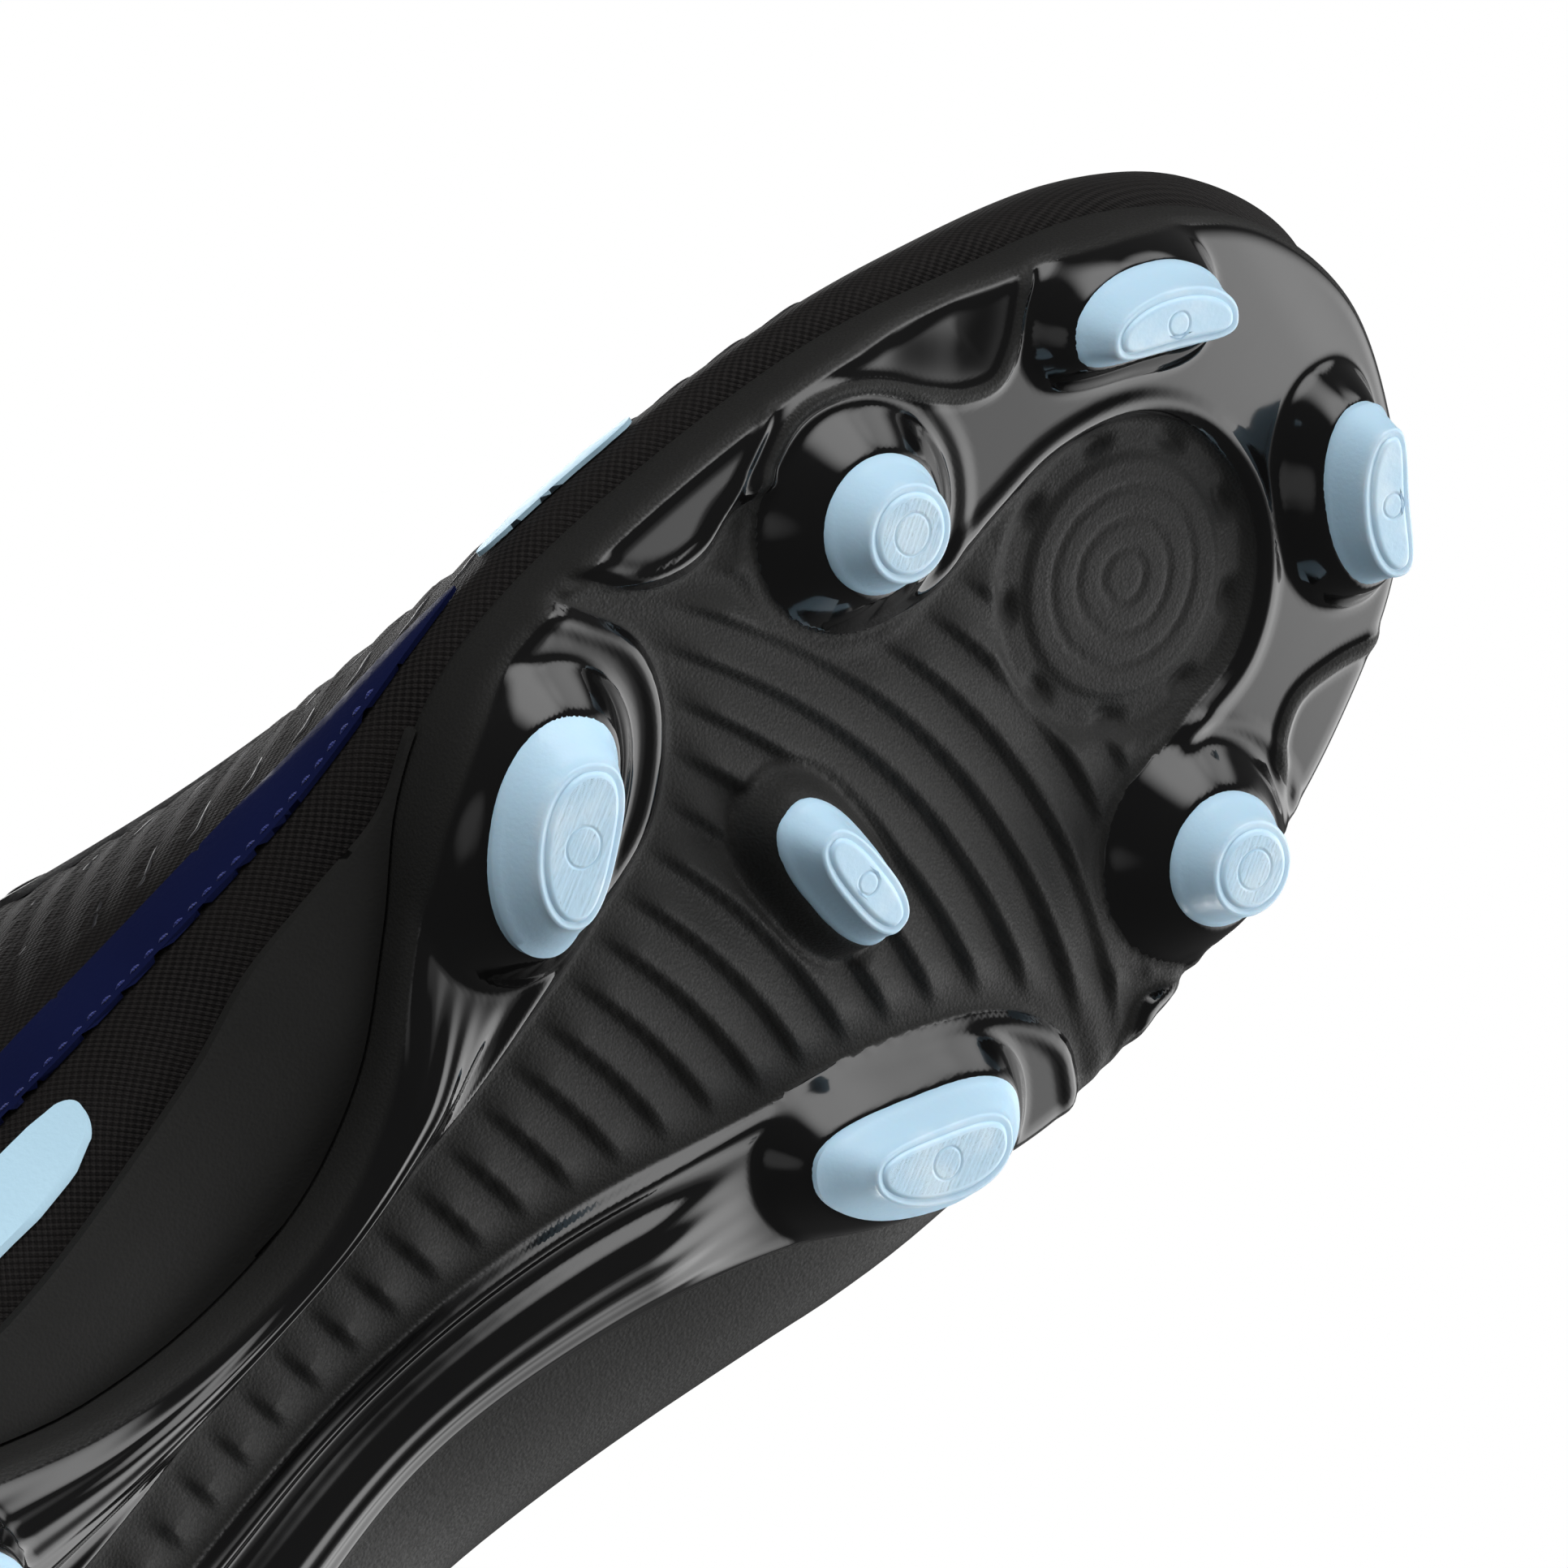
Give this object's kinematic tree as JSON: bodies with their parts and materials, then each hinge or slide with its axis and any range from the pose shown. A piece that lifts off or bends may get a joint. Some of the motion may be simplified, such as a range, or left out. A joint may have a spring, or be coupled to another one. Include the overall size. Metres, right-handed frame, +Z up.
{
  "type": "football boot",
  "caption": "Low-cut firm-ground football boot, left foot, with a ribbed moulded plate, bladed and round two-colour studs and a tilting tongue.",
  "frame": {"origin": "on the ground under the middle of the boot's bounding box, with the boot standing on its studs", "axes": "+X from heel to toe, +Y to the lateral side of the left foot, +Z up"},
  "size_m": [0.281, 0.0986, 0.1121],
  "materials": {
    "gloss_black": "high gloss with matte grained zones",
    "stud_tip_blue": "satin moulded",
    "woven_black": "fine weave with a coated film",
    "lasting_board": "stitched non-woven",
    "sockliner_foam": "napped top cloth on foam",
    "stiffener": "thermoformed sheet",
    "collar_lining": "padded soft mesh",
    "tongue_fabric": "padded knit",
    "matte_synthetic": "fine leather-like grain",
    "navy_film": "semi-gloss film with stitched edge",
    "pale_film": "satin film"
  },
  "bodies": {
    "boot": {"outsole_plate": "gloss_black", "upper_shell": "woven_black", "lasting_board": "lasting_board", "sockliner": "sockliner_foam", "toe_puff": "stiffener", "heel_counter": "stiffener", "collar_padding": "collar_lining", "backstay": "matte_synthetic", "eyestay_medial": "matte_synthetic", "eyestay_lateral": "matte_synthetic", "rand_medial": "matte_synthetic", "rand_lateral": "matte_synthetic", "side_band_medial": "navy_film", "side_band_lateral": "navy_film", "side_bar_medial": "pale_film", "side_bar_lateral": "pale_film", "forefoot_bar_medial": "pale_film", "stud_toe_medial": "stud_tip_blue", "stud_toe_lateral": "stud_tip_blue", "stud_round_medial": "stud_tip_blue", "stud_round_lateral": "stud_tip_blue", "stud_blade_medial": "stud_tip_blue", "stud_blade_lateral": "stud_tip_blue", "stud_centre": "stud_tip_blue", "stud_heel_front_medial": "stud_tip_blue", "stud_heel_front_lateral": "stud_tip_blue", "stud_heel_rear_medial": "stud_tip_blue", "stud_heel_rear_lateral": "stud_tip_blue"},
    "tongue_flap": {"tongue": "tongue_fabric"}
  },
  "joints": [
    {"name": "tongue_tilt", "type": "hinge", "parent": "boot", "child": "tongue_flap", "pos_m": [0.0599, -0.0056, 0.067], "axis": [0, 1, 0], "range_deg": [0, 35], "stiffness_Nm_per_rad": 0.03}
  ]
}
